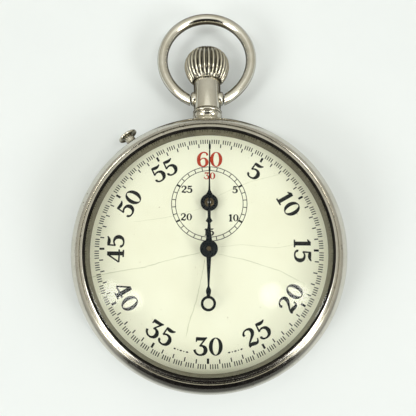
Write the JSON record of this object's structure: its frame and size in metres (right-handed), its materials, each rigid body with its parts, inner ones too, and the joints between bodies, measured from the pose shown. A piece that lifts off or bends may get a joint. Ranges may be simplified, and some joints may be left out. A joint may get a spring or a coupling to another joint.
{
  "type": "mechanical stopwatch",
  "caption": "Pocket stopwatch with an enamel dial, a sweep seconds hand, a small minute recorder, a fluted winding crown with a bow, and a side reset button.",
  "frame": {"origin": "on the sweep-hand axis, at the flat of the back", "axes": "+Z out of the dial, +Y towards twelve o'clock and the crown, +X towards three o'clock"},
  "size_m": [0.051, 0.0738, 0.0143],
  "materials": {
    "nickel": "satin",
    "crystal_glass": "gloss",
    "enamel": "gloss",
    "gilt_brass": "satin",
    "wheel_brass": "satin",
    "ruby": "gloss",
    "blued_steel": "polished",
    "hand_steel": "polished",
    "steel": "satin"
  },
  "bodies": {
    "case": {"case_band": "nickel", "back_cover": "nickel", "bezel": "nickel", "crystal": "crystal_glass", "pendant": "nickel", "pendant_sleeve": "nickel", "button_bush": "nickel", "case_screws": "blued_steel", "main_plate": "gilt_brass", "barrel_bridge": "gilt_brass", "train_bridge": "gilt_brass", "balance_cock": "gilt_brass", "pallet_cock": "gilt_brass", "bridge_screws": "blued_steel", "jewels": "ruby", "pivot_studs": "steel", "dial": "enamel", "crown_spring": "steel", "click_spring": "blued_steel", "hairspring": "blued_steel", "button_spring": "steel"},
    "bow": {"bow": "nickel"},
    "winding_pinion": {"winding_pinion": "steel"},
    "crown": {"crown": "nickel", "winding_stem": "steel"},
    "crown_wheel": {"crown_wheel": "steel"},
    "ratchet": {"ratchet_wheel": "steel", "ratchet_screw": "blued_steel", "barrel_arbor": "steel"},
    "barrel": {"barrel_drum": "wheel_brass", "barrel_cover": "wheel_brass", "mainspring": "blued_steel"},
    "second_wheel": {"second_pinion": "steel", "second_wheel": "wheel_brass"},
    "third_wheel": {"third_pinion": "steel", "third_wheel": "wheel_brass"},
    "seconds": {"seconds_arbor": "steel", "seconds_wheel": "wheel_brass", "seconds_heart": "steel", "seconds_hand": "hand_steel"},
    "intermediate": {"intermediate_pinion": "steel", "intermediate_wheel": "wheel_brass"},
    "minute": {"minute_arbor": "steel", "minute_wheel": "wheel_brass", "minute_heart": "steel", "minute_hand": "hand_steel"},
    "escape": {"escape_pinion": "steel", "escape_wheel": "steel"},
    "fork": {"pallet_fork": "steel", "pallet_stones": "ruby"},
    "balance": {"balance_wheel": "wheel_brass", "balance_staff": "steel", "roller": "steel"},
    "operating_lever": {"operating_lever": "steel"},
    "column_wheel": {"column_wheel": "steel"},
    "brake_lever": {"brake_lever": "steel"},
    "reset_hammer": {"reset_hammer": "steel"},
    "side_button": {"side_button": "nickel"},
    "click": {"click": "steel"},
    "regulator": {"regulator": "steel"}
  },
  "joints": [
    {"name": "bow_swing", "type": "hinge", "parent": "case", "child": "bow", "pos_m": [0, 0.0302, 0.005], "axis": [1, 0, 0], "range_deg": [-90, 90]},
    {"name": "crown_wind", "type": "hinge", "parent": "case", "child": "winding_pinion", "pos_m": [0, 0.0161, 0.005], "axis": [0, 1, 0], "continuous": true},
    {"name": "crown_press", "type": "slide", "parent": "winding_pinion", "child": "crown", "axis": [0, -1, 0], "range_m": [0, 0.0012], "stiffness_N_per_m": 300},
    {"name": "crown_wheel_turn", "type": "hinge", "parent": "case", "child": "crown_wheel", "pos_m": [0, 0.0133, 0.0023], "axis": [0, 0, 1], "continuous": true},
    {"name": "ratchet_turn", "type": "hinge", "parent": "case", "child": "ratchet", "pos_m": [0.0095, 0.0085, 0.003], "axis": [0, 0, 1], "continuous": true},
    {"name": "seconds_run", "type": "hinge", "parent": "case", "child": "seconds", "pos_m": [0, 0, 0.006], "axis": [0, 0, -1], "continuous": true},
    {"name": "third_turn", "type": "hinge", "parent": "case", "child": "third_wheel", "pos_m": [0.00442, -0.00013, 0.004], "axis": [0, 0, -1], "continuous": true},
    {"name": "second_turn", "type": "hinge", "parent": "case", "child": "second_wheel", "pos_m": [0.0095, 0.0003, 0.004], "axis": [0, 0, -1], "continuous": true},
    {"name": "barrel_turn", "type": "hinge", "parent": "case", "child": "barrel", "pos_m": [0.0095, 0.0085, 0.0042], "axis": [0, 0, -1], "continuous": true},
    {"name": "escape_turn", "type": "hinge", "parent": "case", "child": "escape", "pos_m": [-0.00212, -0.00367, 0.004], "axis": [0, 0, -1], "continuous": true},
    {"name": "intermediate_turn", "type": "hinge", "parent": "case", "child": "intermediate", "pos_m": [-0.00082, 0.00383, 0.005], "axis": [0, 0, -1], "continuous": true},
    {"name": "minute_run", "type": "hinge", "parent": "case", "child": "minute", "pos_m": [0.00017, 0.00853, 0.0065], "axis": [0, 0, -1], "continuous": true},
    {"name": "fork_rock", "type": "hinge", "parent": "case", "child": "fork", "pos_m": [-0.00314, -0.00649, 0.0042], "axis": [0, 0, 1], "range_deg": [-4, 4]},
    {"name": "balance_swing", "type": "hinge", "parent": "case", "child": "balance", "pos_m": [-0.00451, -0.01025, 0.0035], "axis": [0, 0, 1], "range_deg": [-150, 150], "stiffness_Nm_per_rad": 0.0000003},
    {"name": "side_press", "type": "slide", "parent": "case", "child": "side_button", "axis": [0.5678, -0.8231, 0], "range_m": [0, 0.0012], "stiffness_N_per_m": 60},
    {"name": "hammer_turn", "type": "hinge", "parent": "case", "child": "reset_hammer", "pos_m": [-0.0135, 0.002, 0.0068], "axis": [0, 0, 1], "range_deg": [-6.9, 0]},
    {"name": "lever_turn", "type": "hinge", "parent": "case", "child": "operating_lever", "pos_m": [0.008, 0.0146, 0.0068], "axis": [0, 0, 1], "range_deg": [0, 9.5]},
    {"name": "column_turn", "type": "hinge", "parent": "case", "child": "column_wheel", "pos_m": [0.0132, 0.008, 0.0066], "axis": [0, 0, 1], "range_deg": [0, 24.1]},
    {"name": "brake_turn", "type": "hinge", "parent": "case", "child": "brake_lever", "pos_m": [-0.013, -0.004, 0.0034], "axis": [0, 0, 1], "range_deg": [-4.1, 0]},
    {"name": "click_lift", "type": "hinge", "parent": "case", "child": "click", "pos_m": [0.0014, 0.0066, 0.00155], "axis": [0, 0, 1], "range_deg": [-12, 0], "stiffness_Nm_per_rad": 0.000002},
    {"name": "regulator_turn", "type": "hinge", "parent": "case", "child": "regulator", "pos_m": [-0.00451, -0.01025, 0.0017], "axis": [0, 0, 1], "range_deg": [-15, 15]}
  ],
  "couplings": [
    {"joint": "crown_wheel_turn", "follows": "crown_wind", "ratio": 0.5},
    {"joint": "ratchet_turn", "follows": "crown_wind", "ratio": -0.3},
    {"joint": "third_turn", "follows": "seconds_run", "ratio": -0.13333},
    {"joint": "second_turn", "follows": "seconds_run", "ratio": 0.017778},
    {"joint": "barrel_turn", "follows": "seconds_run", "ratio": -0.0024691},
    {"joint": "escape_turn", "follows": "seconds_run", "ratio": -10},
    {"joint": "intermediate_turn", "follows": "seconds_run", "ratio": -0.16667},
    {"joint": "minute_run", "follows": "seconds_run", "ratio": 0.033333},
    {"joint": "hammer_turn", "follows": "side_press", "rad_per_m": -100},
    {"joint": "lever_turn", "follows": "crown_press", "rad_per_m": 135},
    {"joint": "column_turn", "follows": "crown_press", "rad_per_m": 349},
    {"joint": "brake_turn", "follows": "crown_press", "rad_per_m": -58.3}
  ]
}
